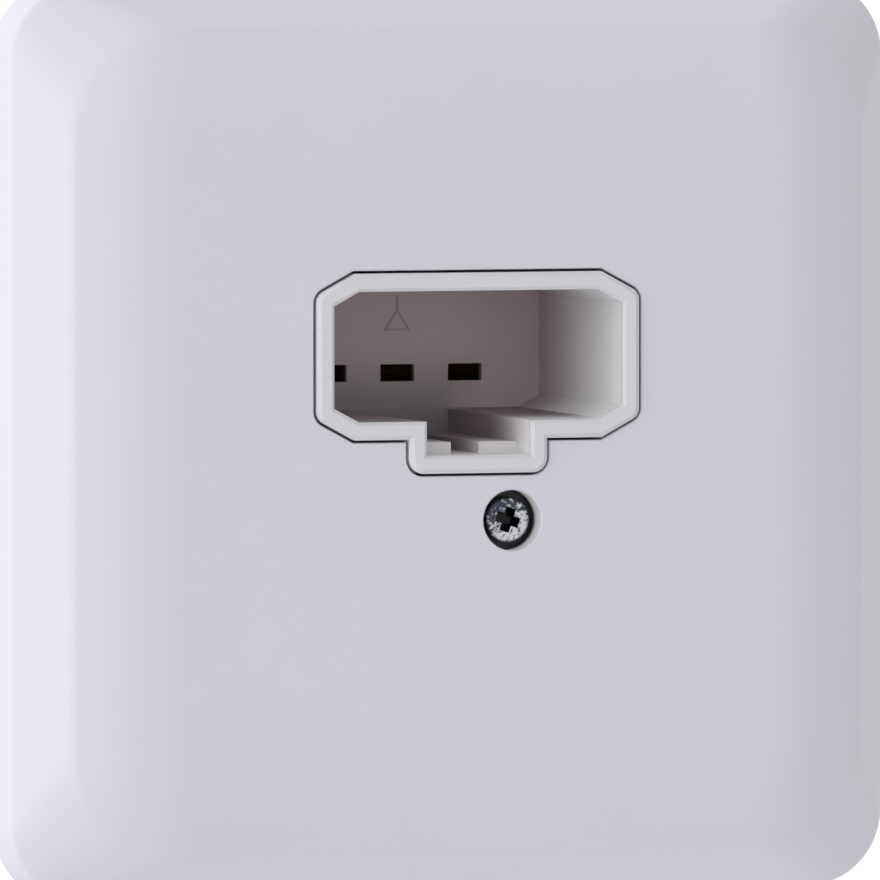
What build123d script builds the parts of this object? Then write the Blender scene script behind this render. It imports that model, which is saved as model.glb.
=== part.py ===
from build123d import *
import os
from math import cos, hypot, radians

# Flush lighting connection outlet. X runs to the right, Z up, and Y into the wall.
# The wall face is Y = 0, and the origin is the middle of the box screw pattern on it.

# Cover plate
PLATE_SIZE = 85.0
PLATE_HEIGHT = 13.4
PLATE_CORNER = 7.0
PLATE_WALL = 2.0
SIDE_HEIGHT = 4.8
SIDE_DRAFT = 0.35
SIDE_SOFT = 0.07
BEVEL_INSET = 4.4
BEVEL_SOFT = 0.08
BEVEL_CORNER = 10.5
CROWN_INSET = 9.6
CROWN_RISE = 2.75
CROWN_SOFT = 0.9
FLAT_CORNER = 0.5
RIB_THICK = 1.2
RIB_DEPTH = 4.4
RIB_OFFSET = 23.0

# T-shaped plug pocket and its collar
POCKET_WIDTH = 27.8
POCKET_HEIGHT = 12.0
POCKET_DEPTH = 25.0
POCKET_LINE = 7.9
CHAMFER_WIDTH = 2.4
CHAMFER_HEIGHT = 1.3
KEY_WIDTH = 10.0
KEY_DROP = 3.15
COLLAR_WALL = 1.65
COLLAR_PROUD = 0.5
COLLAR_GAP = 0.25
COLLAR_EDGE = 0.4
MOUTH_EDGE = 0.3
OPENING_EDGE = 0.1
SIDE_CORNER_ROUND = 1.2
KEY_CORNER_ROUND = 1.4
LEDGE_HEIGHT = 1.05
LEDGE_GAP = 2.7
LEDGE_SETBACK = 4.5

# Slots for the plug's three blades
BLADE_PITCH = 6.6
BLADE_RISE = 3.45
SLOT_WIDTH = 3.3
SLOT_HEIGHT = 1.6
FLOOR_THICK = 1.8

# Housing behind the strap, and its rear cover
BODY_WIDTH = 44.0
BODY_TOP = 20.0
BODY_BOTTOM = 24.0
BODY_CORNER = 4.0
BODY_FOOT_CORNER = 7.5
BODY_DEPTH = 23.4
REAR_THICK = 2.0
REAR_EDGE = 0.7

# Forks, bars and rivets
FORK_WIDTH = 3.2
FORK_THICK = 0.4
FORK_SPREAD = 1.9
FORK_NIP = 0.55
FORK_FLARE = 1.15
FORK_BEND = 0.6
FORK_NIP_LENGTH = 2.0
FORK_CLEARANCE = 1.1
BAR_WIDTH = 4.0
BAR_THICK = 0.8
BAR_BEND = 0.9
BAR_SHOULDER = 8.5
RIVET_RADIUS = 0.7
RIVET_HEAD = 1.25
RIVET_HEAD_THICK = 0.5

# Terminals
TERMINAL_EDGE = 1.6
TERMINAL_WEB = 2.8
TERMINAL_FOOT = 14.75
TERMINAL_HEIGHT = 9.5
TERMINAL_DEPTH = 13.2
FOOT_HEIGHT = 2.0
LEG_LENGTH = 10.6
CLAMP_GAP = 1.0
CLAMP_THICK = 0.4
CLAMP_LOOP = 1.5
CLAMP_REACH = 6.2
CLAMP_RISE = 3.4
ENTRY_WIDTH = 2.8
ENTRY_HEIGHT = 2.4
ENTRY_FLARE = 0.5
ENTRY_SLANT = 45.0
RELEASE_HEIGHT = 1.2
RELEASE_DROP = 2.9

# Mounting strap
STRAP_EDGE = 1.5
STRAP_CORNER = 6.0
STRAP_THICK = 1.2
STRAP_LIP = 3.0
STRAP_LIP_WIDTH = 46.0
BOX_PITCH = 60.0
BOX_SLOT_LENGTH = 7.0
BOX_SLOT_WIDTH = 4.0
COLLAR_CLEARANCE = 0.6
THREAD_RADIUS = 2.2
THREAD_LENGTH = 2.0

# Screws
COVER_SCREW_X = 3.35
COVER_SCREW_Z = -7.3
COVER_SCREW_RADIUS = 1.25
COVER_SCREW_LENGTH = 16.0
COVER_HEAD_RADIUS = 2.1
COVER_HEAD_HEIGHT = 1.9
WELL_RADIUS = 2.8
WELL_DEPTH = 3.4
WELL_EDGE = 0.12
BOSS_RADIUS = 3.8
SCREW_RADIUS = 1.3
SCREW_LENGTH = 8.0
SCREW_HEAD_RADIUS = 2.5
SCREW_HEAD_HEIGHT = 1.7
HEAD_TOP = 0.66
RECESS_WIDTH = 0.75
RECESS_REACH = 0.55
RECESS_DEPTH = 1.4
STRAP_SCREW_EDGE = 5.0
STRAP_SCREW_DROP = 8.0
REAR_SCREW_EDGE = 8.5
REAR_SCREW_TOP = 6.0
REAR_SCREW_FOOT = 2.8

# Clearances
FIT = 0.1
PLAY = 0.3
SAME = 0.000001

COLLAR_FRONT = -(PLATE_HEIGHT + COLLAR_PROUD)
FLOOR = COLLAR_FRONT + POCKET_DEPTH
CHAMBER_FRONT = FLOOR + FLOOR_THICK
CHANNEL_FLOOR = BODY_DEPTH - BAR_THICK - FIT
BAR_MIDDLE = CHANNEL_FLOOR + BAR_THICK / 2
BAR_BACK = CHANNEL_FLOOR + BAR_THICK
REAR_FACE = BODY_DEPTH + REAR_THICK
BLADE_LINE = POCKET_LINE - POCKET_HEIGHT / 2 + BLADE_RISE
TERMINAL_PITCH = (BODY_WIDTH - 2 * TERMINAL_EDGE) / 3
TERMINAL_WIDTH = TERMINAL_PITCH - TERMINAL_WEB
TERMINAL_LINE = BODY_BOTTOM - TERMINAL_FOOT
LEG_UNDER = -TERMINAL_LINE - BAR_THICK / 2
CLAMP_SPACING = TERMINAL_WIDTH / 2
CLAMP_WIDTH = CLAMP_SPACING - CLAMP_GAP
STRAP_SIZE = BOX_PITCH + BOX_SLOT_LENGTH + 2 * STRAP_EDGE
POLES = {"live": -1, "earth": 0, "neutral": 1}
SIDES = {"left": -1, "right": 1}


def slab(outline, front, back):
    """A flat outline drawn on the wall, made solid between two depths."""
    return extrude(Plane.XZ.offset(-back) * outline, amount=back - front)


def strip(path, thick, middle, width):
    """Sheet metal bent along a path in the YZ plane, centred on a place along X."""
    return extrude(Plane.YZ.offset(middle - width / 2) * trace(path, thick), amount=width)


def rod(x, z, radius, front, back):
    """A round solid along Y, added as a boss or taken away as a hole."""
    return slab(Pos(x, z) * Circle(radius), front, back)


def at_cover_screw(radius, front, back):
    return rod(COVER_SCREW_X, COVER_SCREW_Z, radius, front, back)


def crown_corner(inset):
    """Corner radius on the crown, which turns about one axis."""
    return BEVEL_CORNER + BEVEL_INSET - inset


def plate_profile():
    """The plate's section from the wall to the flat front: inset, height and corner radius of each bend."""
    flat = BEVEL_CORNER + BEVEL_INSET - FLAT_CORNER
    return [
        Vector(0, 0, PLATE_CORNER),
        Vector(SIDE_DRAFT, SIDE_HEIGHT, PLATE_CORNER),
        Vector(BEVEL_INSET, PLATE_HEIGHT - CROWN_RISE, BEVEL_CORNER),
        Vector(CROWN_INSET, PLATE_HEIGHT, crown_corner(CROWN_INSET)),
        Vector(flat, PLATE_HEIGHT, FLAT_CORNER),
    ]


def section_length(start, end):
    return hypot(end.X - start.X, end.Y - start.Y)


def soft_stretches(bends, softness):
    """A bent section as straight and rounded stretches; softness is a rounding's share of the line."""
    stretches = []
    start = bends[0]
    for before, bend, after, soft in zip(bends, bends[1:], bends[2:], softness):
        lengths = [section_length(before, bend), section_length(bend, after)]
        reach = soft * min(lengths)
        enter = bend + (before - bend) * (reach / lengths[0])
        leave = bend + (after - bend) * (reach / lengths[1])
        stretches += [[start, enter], [enter, bend, leave]]
        start = leave
    return stretches


def level_points(point):
    """Along one side and round one corner of the plate, level with a point of its section."""
    edge = PLATE_SIZE / 2 - point.X
    bend = edge - point.Z
    return [(-bend, -point.Y, edge), (bend, -point.Y, edge), (edge, -point.Y, edge), (edge, -point.Y, bend)]


def level_face(point):
    side = PLATE_SIZE - 2 * point.X
    return (Plane.XZ.offset(point.Y) * RectangleRounded(side, side, point.Z)).face()


def bulge(stretch):
    """Weights that make a stretch straight or a true arc."""
    if len(stretch) == 2:
        return [1, 1]
    enter = Vector(stretch[1].X - stretch[0].X, stretch[1].Y - stretch[0].Y)
    leave = Vector(stretch[2].X - stretch[1].X, stretch[2].Y - stretch[1].Y)
    return [1, cos(radians(enter.get_angle(leave) / 2)), 1]


def turned_corner(path):
    """A corner whose levels share one axis: the side's end turned on to the next side."""
    start, end = Vector(path[0]), Vector(path[-1])
    edge = Line(start, end) if len(path) == 2 else TangentArc(start, end, tangent=Vector(path[1]) - start)
    return Face.revolve(edge.edge(), 90, Axis((start.X, 0, start.X), (0, 1, 0)))


def blended_corner(rows, weights):
    """A corner whose radius grows from level to level."""
    round_off = cos(radians(45))
    corner_weights = [[weight, weight * round_off, weight] for weight in weights]
    return Face.make_bezier_surface([row[1:] for row in rows], corner_weights)


def skin(stretch):
    """The plate's four sides and four corners over one stretch of its section."""
    rows = [level_points(point) for point in stretch]
    weights = bulge(stretch)
    side = Face.make_bezier_surface([row[:2] for row in rows], [[weight, weight] for weight in weights])
    if side.is_planar:
        side = Face(side.outer_wire())
    ends = [row[1] for row in rows]
    same_axis = max(end[0] for end in ends) - min(end[0] for end in ends) < SAME
    corner = turned_corner(ends) if same_axis else blended_corner(rows, weights)
    return [Rot(0, 90 * turn, 0) * face for turn in range(4) for face in (side, corner)]


def closed_skin(stretches):
    faces = [level_face(stretches[0][0]), level_face(stretches[-1][-1])]
    for stretch in stretches:
        faces += skin(stretch)
    return Solid(Shell(faces))


def pillow():
    """The plate's outside: upright side, steep bevel and soft crown round a flat middle."""
    return closed_skin(soft_stretches(plate_profile(), (SIDE_SOFT, BEVEL_SOFT, CROWN_SOFT)))


def plate_hollow():
    """The inside of the plate: its section moved in by the wall, with a small shelf in each corner."""
    path = Polyline(*[(bend.X, bend.Y) for bend in plate_profile()])
    inside = offset(path, PLATE_WALL, side=Side.RIGHT, kind=Kind.INTERSECTION, closed=False)
    corners = inside.vertices().sort_by(Axis.X)[:-1]
    lower = [Vector(corner.X, corner.Y, PLATE_CORNER - corner.X) for corner in corners[:2]]
    upper = [Vector(corner.X, corner.Y, crown_corner(corner.X)) for corner in corners[1:]]
    return closed_skin([lower]) + closed_skin([list(pair) for pair in zip(upper, upper[1:])])


def edges_at(shape, depth):
    return shape.edges().filter_by_position(Axis.Y, depth - SAME, depth + SAME)


def front_face(shape):
    return shape.faces().sort_by(Axis.Y)[0]


def pocket_outline():
    """The T of the plug pocket, its bar's corners cut off at a slant."""
    half = POCKET_WIDTH / 2
    low = POCKET_LINE - POCKET_HEIGHT / 2
    high = POCKET_LINE + POCKET_HEIGHT / 2
    key = KEY_WIDTH / 2
    right = [
        (key, low - KEY_DROP),
        (key, low),
        (half - CHAMFER_WIDTH, low),
        (half, low + CHAMFER_HEIGHT),
        (half, high - CHAMFER_HEIGHT),
        (half - CHAMFER_WIDTH, high),
    ]
    left = [(-x, z) for x, z in reversed(right)]
    return Polygon(*right, *left, align=None)


def collar_outline(grow=0.0):
    """The outside of the collar round the pocket, grown by a clearance where asked."""
    outline = offset(pocket_outline(), COLLAR_WALL, kind=Kind.INTERSECTION)
    foot = outline.vertices().group_by(Axis.Y)[0]
    outline = fillet(foot, KEY_CORNER_ROUND)
    ends = outline.vertices().group_by(Axis.X)
    outline = fillet(ends[0] + ends[-1], SIDE_CORNER_ROUND)
    return offset(outline, grow) if grow else outline


def cover_plate():
    hollow = plate_hollow()
    inside = PLATE_WALL - PLATE_HEIGHT
    rib_end = inside + RIB_DEPTH
    upright = Rectangle(RIB_THICK, PLATE_SIZE)
    ribs = Sketch() + [Pos(side * RIB_OFFSET, 0) * upright for side in (-1, 1)]
    ribs += [Pos(0, side * RIB_OFFSET) * Rot(0, 0, 90) * upright for side in (-1, 1)]
    ribs = slab(ribs, -PLATE_HEIGHT, rib_end) & hollow
    opening = collar_outline(COLLAR_GAP)
    skirt = slab(collar_outline(COLLAR_GAP + RIB_THICK), inside - FIT, rib_end)
    boss = at_cover_screw(BOSS_RADIUS, inside - FIT, -STRAP_THICK - FIT)
    plate = pillow() - hollow + ribs + skirt + boss
    plate -= slab(opening, -PLATE_HEIGHT, 0)
    plate -= at_cover_screw(WELL_RADIUS, -PLATE_HEIGHT, WELL_DEPTH - PLATE_HEIGHT)
    plate -= at_cover_screw(COVER_SCREW_RADIUS + PLAY, -PLATE_HEIGHT, 0)
    mouth = front_face(plate).inner_wires().sort_by(SortBy.LENGTH)[-1]
    plate = chamfer(mouth.edges(), OPENING_EDGE)
    well = front_face(plate).inner_wires().sort_by(SortBy.LENGTH)[0]
    return chamfer(well.edges(), WELL_EDGE)


def body_outline():
    """The housing seen from behind: a block with its lower corners rounded to pass into a round wall box."""
    tall = BODY_TOP + BODY_BOTTOM
    block = Pos(0, (BODY_TOP - BODY_BOTTOM) / 2) * Rectangle(BODY_WIDTH, tall)
    block = fillet(block.vertices().group_by(Axis.Y)[0], BODY_FOOT_CORNER)
    return fillet(block.vertices().group_by(Axis.Y)[-1], BODY_CORNER)


def bar_outline(pole):
    """The flat of a bar, from its fork down to the wider terminal foot."""
    fork = pole * BLADE_PITCH
    foot = pole * TERMINAL_PITCH
    half = BAR_WIDTH / 2
    wide = TERMINAL_WIDTH / 2
    top = BLADE_LINE + half
    shoulder = BLADE_LINE - BAR_SHOULDER
    end = BAR_BEND - TERMINAL_LINE
    return Polygon(
        (fork - half, top),
        (fork - half, shoulder),
        (foot - wide, end + FOOT_HEIGHT),
        (foot - wide, end),
        (foot + wide, end),
        (foot + wide, end + FOOT_HEIGHT),
        (fork + half, shoulder),
        (fork + half, top),
        align=None,
    )


def terminal_outline(pole):
    middle = BAR_BEND - TERMINAL_LINE - TERMINAL_HEIGHT / 2
    return Pos(pole * TERMINAL_PITCH, middle) * Rectangle(TERMINAL_WIDTH + 2 * PLAY, TERMINAL_HEIGHT)


def rear_screw_places():
    across = BODY_WIDTH / 2 - REAR_SCREW_EDGE
    top = BODY_TOP - REAR_SCREW_TOP
    return [(-across, top), (across, top), (0, REAR_SCREW_FOOT - BODY_BOTTOM)]


def strap_screw_places():
    across = BODY_WIDTH / 2 - STRAP_SCREW_EDGE
    return [(-across, -STRAP_SCREW_DROP), (across, -STRAP_SCREW_DROP)]


def chambers(pole):
    """What one pole takes out of the housing, open at the back."""
    fork = Pos(pole * BLADE_PITCH, BLADE_LINE)
    slot = slab(fork * Rectangle(SLOT_WIDTH, SLOT_HEIGHT), 0, BODY_DEPTH)
    tall = 2 * (FORK_SPREAD + FORK_THICK / 2 + PLAY)
    room = slab(fork * Rectangle(FORK_WIDTH + 2 * PLAY, tall), CHAMBER_FRONT, BODY_DEPTH)
    channel = slab(offset(bar_outline(pole), PLAY), CHANNEL_FLOOR, BODY_DEPTH)
    terminal = slab(terminal_outline(pole), BODY_DEPTH - TERMINAL_DEPTH, BODY_DEPTH)
    return slot + room + channel + terminal


def latch_ledges():
    low = POCKET_LINE - POCKET_HEIGHT / 2 - KEY_DROP
    width = (KEY_WIDTH - LEDGE_GAP) / 2
    across = (LEDGE_GAP + width) / 2
    ledge = Rectangle(width, LEDGE_HEIGHT)
    pair = Sketch() + [Pos(side * across, low + LEDGE_HEIGHT / 2) * ledge for side in (-1, 1)]
    return slab(pair, COLLAR_FRONT + LEDGE_SETBACK, FLOOR)


def collar():
    """The tube in front of the housing, its rim broken outside and inside."""
    tube = slab(collar_outline(), COLLAR_FRONT, 0) - slab(pocket_outline(), COLLAR_FRONT, 0)
    tube = chamfer(front_face(tube).outer_wire().edges(), COLLAR_EDGE)
    return chamfer(front_face(tube).inner_wires()[0].edges(), MOUTH_EDGE)


def socket_housing():
    housing = collar() + slab(body_outline(), 0, BODY_DEPTH)
    housing -= slab(pocket_outline(), 0, FLOOR)
    housing += latch_ledges()
    for pole in POLES.values():
        housing -= chambers(pole)
    for x, z in rear_screw_places():
        housing -= rod(x, z, SCREW_RADIUS + FIT, BODY_DEPTH - SCREW_LENGTH, BODY_DEPTH)
    for x, z in strap_screw_places():
        housing -= rod(x, z, SCREW_RADIUS + FIT, 0, SCREW_LENGTH)
    return housing - at_cover_screw(THREAD_RADIUS + PLAY, 0, SCREW_LENGTH)


def entry_places():
    """Middle of each conductor entry, two side by side for each pole."""
    z = LEG_UNDER - ENTRY_HEIGHT / 2
    return [
        (pole * TERMINAL_PITCH + side * CLAMP_SPACING / 2, z)
        for pole in POLES.values()
        for side in SIDES.values()
    ]


def rear_cover():
    cover = slab(body_outline(), BODY_DEPTH, REAR_FACE)
    cover = chamfer(edges_at(cover, REAR_FACE), REAR_EDGE)
    for x, z in entry_places():
        cover -= slab(Pos(x, z) * Rectangle(ENTRY_WIDTH, ENTRY_HEIGHT), BODY_DEPTH, REAR_FACE)
        release = Pos(x, z - RELEASE_DROP) * Rectangle(ENTRY_WIDTH, RELEASE_HEIGHT)
        cover -= slab(release, BODY_DEPTH, REAR_FACE)
        mouth = Pos(x, z) * Rectangle(ENTRY_WIDTH + 2 * ENTRY_FLARE, ENTRY_HEIGHT + 2 * ENTRY_FLARE)
        cover -= extrude(Plane.XZ.offset(-REAR_FACE) * mouth, amount=ENTRY_FLARE, taper=ENTRY_SLANT)
    for x, z in rear_screw_places():
        cover -= rod(x, z, SCREW_RADIUS + PLAY, BODY_DEPTH, REAR_FACE)
    tall = 2 * (RIVET_HEAD + PLAY)
    groove = Pos(0, BLADE_LINE) * Rectangle(2 * BLADE_PITCH + tall, tall)
    return cover - slab(groove, BODY_DEPTH, BODY_DEPTH + RIVET_HEAD_THICK + PLAY)


def fork(pole):
    """A bronze strip bent to a U, its leaves nipped together and flared where the blade enters."""
    base = CHANNEL_FLOOR - FORK_THICK / 2
    tip = CHAMBER_FRONT + FORK_CLEARANCE
    nip = tip + FORK_NIP_LENGTH
    upper = [(tip, BLADE_LINE + FORK_FLARE), (nip, BLADE_LINE + FORK_NIP), (base, BLADE_LINE + FORK_SPREAD)]
    lower = [(y, 2 * BLADE_LINE - z) for y, z in reversed(upper)]
    path = FilletPolyline(*upper, *lower, radius=FORK_BEND)
    leaves = strip(path, FORK_THICK, pole * BLADE_PITCH, FORK_WIDTH)
    hole = rod(pole * BLADE_PITCH, BLADE_LINE, RIVET_RADIUS + FIT, CHANNEL_FLOOR - FORK_THICK, CHANNEL_FLOOR)
    return leaves - hole


def bar(pole):
    """A copper bar: flat against the housing, with one broad leg folded forward in the terminal."""
    flat = slab(bar_outline(pole), CHANNEL_FLOOR, BAR_BACK)
    path = FilletPolyline(
        (BAR_MIDDLE, BAR_BEND - TERMINAL_LINE + FIT),
        (BAR_MIDDLE, -TERMINAL_LINE),
        (BAR_MIDDLE - LEG_LENGTH, -TERMINAL_LINE),
        radius=BAR_BEND,
    )
    leg = strip(path, BAR_THICK, pole * TERMINAL_PITCH, TERMINAL_WIDTH)
    hole = rod(pole * BLADE_PITCH, BLADE_LINE, RIVET_RADIUS + FIT, CHANNEL_FLOOR, BAR_BACK)
    return flat + leg - hole


def contact_rivets():
    front = CHANNEL_FLOOR - FORK_THICK
    rivets = []
    for pole in POLES.values():
        x = pole * BLADE_PITCH
        shank = rod(x, BLADE_LINE, RIVET_RADIUS, front, BAR_BACK)
        inner = rod(x, BLADE_LINE, RIVET_HEAD, front - RIVET_HEAD_THICK, front)
        outer = rod(x, BLADE_LINE, RIVET_HEAD, BAR_BACK, BAR_BACK + RIVET_HEAD_THICK)
        rivets.append(shank + inner + outer)
    return rivets


def clamp(pole, side):
    """A push-in spring: flat foot, loop at the back and a leaf that leans in under the bar's leg."""
    foot = BAR_BEND - TERMINAL_LINE - TERMINAL_HEIGHT + CLAMP_THICK / 2 + FIT
    back = CHANNEL_FLOOR - CLAMP_THICK
    lean = foot + CLAMP_RISE
    path = FilletPolyline(
        (BODY_DEPTH - TERMINAL_DEPTH + CLAMP_LOOP, foot),
        (back, foot),
        (back, lean),
        (back - CLAMP_REACH, LEG_UNDER - CLAMP_THICK),
        radius=CLAMP_LOOP,
    )
    middle = pole * TERMINAL_PITCH + side * CLAMP_SPACING / 2
    return strip(path, CLAMP_THICK, middle, CLAMP_WIDTH)


def strap_outline():
    plate = RectangleRounded(STRAP_SIZE, STRAP_SIZE, STRAP_CORNER)
    slot = SlotOverall(BOX_SLOT_LENGTH, BOX_SLOT_WIDTH)
    for side in (-1, 1):
        plate -= Pos(side * BOX_PITCH / 2, 0) * slot
        plate -= Pos(0, side * BOX_PITCH / 2) * Rot(0, 0, 90) * slot
    for x, z in strap_screw_places():
        plate -= Pos(x, z) * Circle(SCREW_RADIUS + PLAY)
    return plate - collar_outline(COLLAR_CLEARANCE)


def mounting_strap():
    """Pressed steel: slotted plate, top and bottom edges folded forward, drawn thread for the cover screw."""
    strap = slab(strap_outline(), -STRAP_THICK, 0)
    for side in (-1, 1):
        edge = Pos(0, side * (STRAP_SIZE - STRAP_THICK) / 2) * Rectangle(STRAP_LIP_WIDTH, STRAP_THICK)
        strap += slab(edge, -STRAP_THICK - STRAP_LIP, 0)
    strap += at_cover_screw(THREAD_RADIUS, 0, THREAD_LENGTH)
    return strap - at_cover_screw(COVER_SCREW_RADIUS + FIT / 2, -STRAP_THICK, THREAD_LENGTH)


def screw(head_radius, head_height, radius, length):
    """A screw along Y, seated at Y = 0: tapered round head to the front and plain shank."""
    section = Polygon(
        (0, -head_height),
        (HEAD_TOP * head_radius, -head_height),
        (head_radius, 0),
        (radius, 0),
        (radius, length),
        (0, length),
        align=None,
    )
    return revolve(section, Axis.Y)


def cover_screw():
    """The screw that holds the plate, with a cross recess in its head."""
    body = screw(COVER_HEAD_RADIUS, COVER_HEAD_HEIGHT, COVER_SCREW_RADIUS, COVER_SCREW_LENGTH)
    arm = Rectangle(2 * RECESS_REACH * COVER_HEAD_RADIUS, RECESS_WIDTH)
    cross = arm + Rot(0, 0, 90) * arm
    body -= slab(cross, -COVER_HEAD_HEIGHT, RECESS_DEPTH - COVER_HEAD_HEIGHT)
    return Pos(COVER_SCREW_X, WELL_DEPTH - PLATE_HEIGHT, COVER_SCREW_Z) * body


def strap_screws():
    body = screw(SCREW_HEAD_RADIUS, SCREW_HEAD_HEIGHT, SCREW_RADIUS, SCREW_LENGTH)
    return [Pos(x, -STRAP_THICK, z) * body for x, z in strap_screw_places()]


def rear_cover_screws():
    body = Rot(0, 0, 180) * screw(SCREW_HEAD_RADIUS, SCREW_HEAD_HEIGHT, SCREW_RADIUS, SCREW_LENGTH)
    return [Pos(x, REAR_FACE, z) * body for x, z in rear_screw_places()]


def outlet():
    """Every piece of the outlet by name."""
    pieces = {
        "cover_plate": cover_plate(),
        "cover_screw": cover_screw(),
        "socket_housing": socket_housing(),
        "mounting_strap": mounting_strap(),
        "rear_cover": rear_cover(),
        "contact_rivets": Compound(children=contact_rivets()),
        "strap_screws": Compound(children=strap_screws()),
        "rear_cover_screws": Compound(children=rear_cover_screws()),
    }
    for name, pole in POLES.items():
        pieces[name + "_fork"] = fork(pole)
        pieces[name + "_bar"] = bar(pole)
        for hand, side in SIDES.items():
            pieces[name + "_clamp_" + hand] = clamp(pole, side)
    return pieces


os.makedirs("parts", exist_ok=True)
for name, piece in outlet().items():
    export_step(piece, os.path.join("parts", name + ".step"))
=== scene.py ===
import math

import bpy
from mathutils import Matrix, Vector


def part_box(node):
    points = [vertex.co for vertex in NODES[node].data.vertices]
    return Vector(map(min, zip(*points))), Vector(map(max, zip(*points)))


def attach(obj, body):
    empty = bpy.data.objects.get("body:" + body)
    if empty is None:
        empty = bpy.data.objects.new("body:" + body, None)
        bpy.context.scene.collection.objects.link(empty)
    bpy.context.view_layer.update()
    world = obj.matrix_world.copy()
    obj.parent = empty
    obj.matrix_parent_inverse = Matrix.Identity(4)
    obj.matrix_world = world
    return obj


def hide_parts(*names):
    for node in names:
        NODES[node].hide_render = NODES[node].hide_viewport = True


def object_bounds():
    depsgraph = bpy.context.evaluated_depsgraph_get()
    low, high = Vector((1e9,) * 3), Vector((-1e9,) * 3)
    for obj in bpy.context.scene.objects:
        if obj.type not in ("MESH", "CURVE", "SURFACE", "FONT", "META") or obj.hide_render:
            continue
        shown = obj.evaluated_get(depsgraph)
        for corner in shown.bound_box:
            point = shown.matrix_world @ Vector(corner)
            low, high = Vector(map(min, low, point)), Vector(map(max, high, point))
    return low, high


bl_info = {
    "name": "Lighting outlet dressing",
    "version": (1, 0, 0),
    "blender": (4, 5, 0),
    "location": "3D View > Sidebar > Outlet",
    "description": "Finishes, screws, lamp sign and stage for the packed lighting outlet",
    "category": "Object",
}

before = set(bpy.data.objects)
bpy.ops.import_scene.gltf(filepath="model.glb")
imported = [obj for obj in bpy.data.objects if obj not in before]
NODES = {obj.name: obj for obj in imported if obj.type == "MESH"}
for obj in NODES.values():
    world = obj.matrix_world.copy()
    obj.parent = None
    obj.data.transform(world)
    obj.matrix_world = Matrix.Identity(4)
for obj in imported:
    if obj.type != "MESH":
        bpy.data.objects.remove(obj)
CAD_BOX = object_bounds()
POLES = ("live", "earth", "neutral")
SIDES = ("left", "right")
MM = 0.001
WELD = 1e-7
WHITE = (1.0, 1.0, 1.0, 1.0)

# Screws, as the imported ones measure.
COVER_HEAD_HEIGHT = 1.9 * MM
COVER_SCREW_RADIUS = 1.25 * MM
BODY_HEAD_HEIGHT = 1.7 * MM
BODY_HEAD_RADIUS = 2.5 * MM
BODY_SCREW_RADIUS = 1.3 * MM
BODY_SCREW_LENGTH = 8 * MM

# Screw details: shares of the size that each name gives, and the steps in a turn of the thread.
RECESS_TAPER = 0.5
THREAD_DEPTH_OF_PITCH = 0.45
THREAD_WIDTH_OF_PITCH = 0.42
TIP_OF_CORE = 0.45
SHANK_IN_HEAD = 0.1
TURN_STEPS = 20

# Cross recess: where it begins, has its floor and ends by its depth, and how strongly painted shade
# darkens its floor and its walls.
RECESS_MOUTH, RECESS_FLOOR, RECESS_END = 0.05, 0.9, 1.05
RECESS_FLOOR_SHADE, RECESS_WALL_SHADE = 1.0, 0.85

# A triangle of radius 1 that stands on its side.
TRIANGLE_HEIGHT = 1.5
TRIANGLE_WIDTH = math.sqrt(3)

# A face looks along an axis, or across it, by its normal's share of that axis.
ALONG = 0.9
ACROSS = 0.5

# Roughness of the finishes, and the height of the fine relief on them.
ROUGHNESS = {
    "cover": 0.42,
    "housing": 0.45,
    "rear": 0.5,
    "sign": 0.5,
    "strap": 0.38,
    "contacts": 0.3,
    "cover_screw": 0.25,
    "body_screws": 0.28,
    "floor": 0.9,
}
RELIEF = 0.02 * MM

# The lamp sign's painted shade, as a tone against the pocket's; and the direction in which the
# cover screw is less tarnished and its painted dark reflection thins out.
SIGN_SHADE_TONE = 0.78
REFLECTION_AND_TARNISH_DIRECTION = (45.0, 0.0, -60.0)

# Camera: width of its frame in millimetres, and how far it sees in metres.
FRAME_WIDTH = 36.0
SIGHT = 50.0


def node_middle(node):
    """Middle of a CAD node's box."""
    low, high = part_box(node)
    return (Vector(low) + Vector(high)) / 2


# Places where light and shade are painted by depth: the middle, the reach to each side and the
# width of a soft border.
POCKET_DEPTH = 25 * MM
HARD_EDGE = 0.01 * MM
WELL = (node_middle("cover_screw"), (3 * MM, 0, 3 * MM), HARD_EDGE)
POCKET = ((0, 0, node_middle("earth_fork").z), (14.5 * MM, 0, 12 * MM), HARD_EDGE)
CORNER = ((-6 * MM, 0, 2 * MM), (15.5 * MM, 0, 6.5 * MM), 6.5 * MM)
FOOT = ((0, 0, 0.3 * MM), (14.5 * MM, 0, 1.75 * MM), HARD_EDGE)
SHELF = ((-9.5 * MM, 0, 1.9 * MM), (5 * MM, 0, 0.2 * MM), HARD_EDGE)

# The painted light or painted shade they turn to, and the depths behind the piece's front between
# which they do.
WELL_PAINTED_LIGHT_AND_SHADE = (
    # Painted light just inside the well's mouth.
    ("inside", 0.1 * MM, 0.3 * MM, WELL),
    # Painted shade deeper in the well.
    ("well", 1.7 * MM, 2.7 * MM, WELL),
)
POCKET_PAINTED_LIGHT_AND_SHADE = (
    # Painted light just inside the pocket's mouth.
    ("inside", 0.3 * MM, 1 * MM, POCKET),
    # Painted shade deep in the pocket.
    ("pocket", 12 * MM, 26 * MM, POCKET),
    # Painted shade low on the left of the pocket's floor.
    ("corner", 22 * MM, POCKET_DEPTH, CORNER),
    # Painted shade on the pocket's bottom wall and on the ledge.
    ("foot", 0.8 * MM, 13 * MM, FOOT),
    ("foot", 0.2 * MM, 1.5 * MM, SHELF),
    # Painted shade in the blade slots behind the pocket floor.
    ("shade", POCKET_DEPTH + 0.05 * MM, POCKET_DEPTH + 1.2 * MM, POCKET),
)

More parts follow.
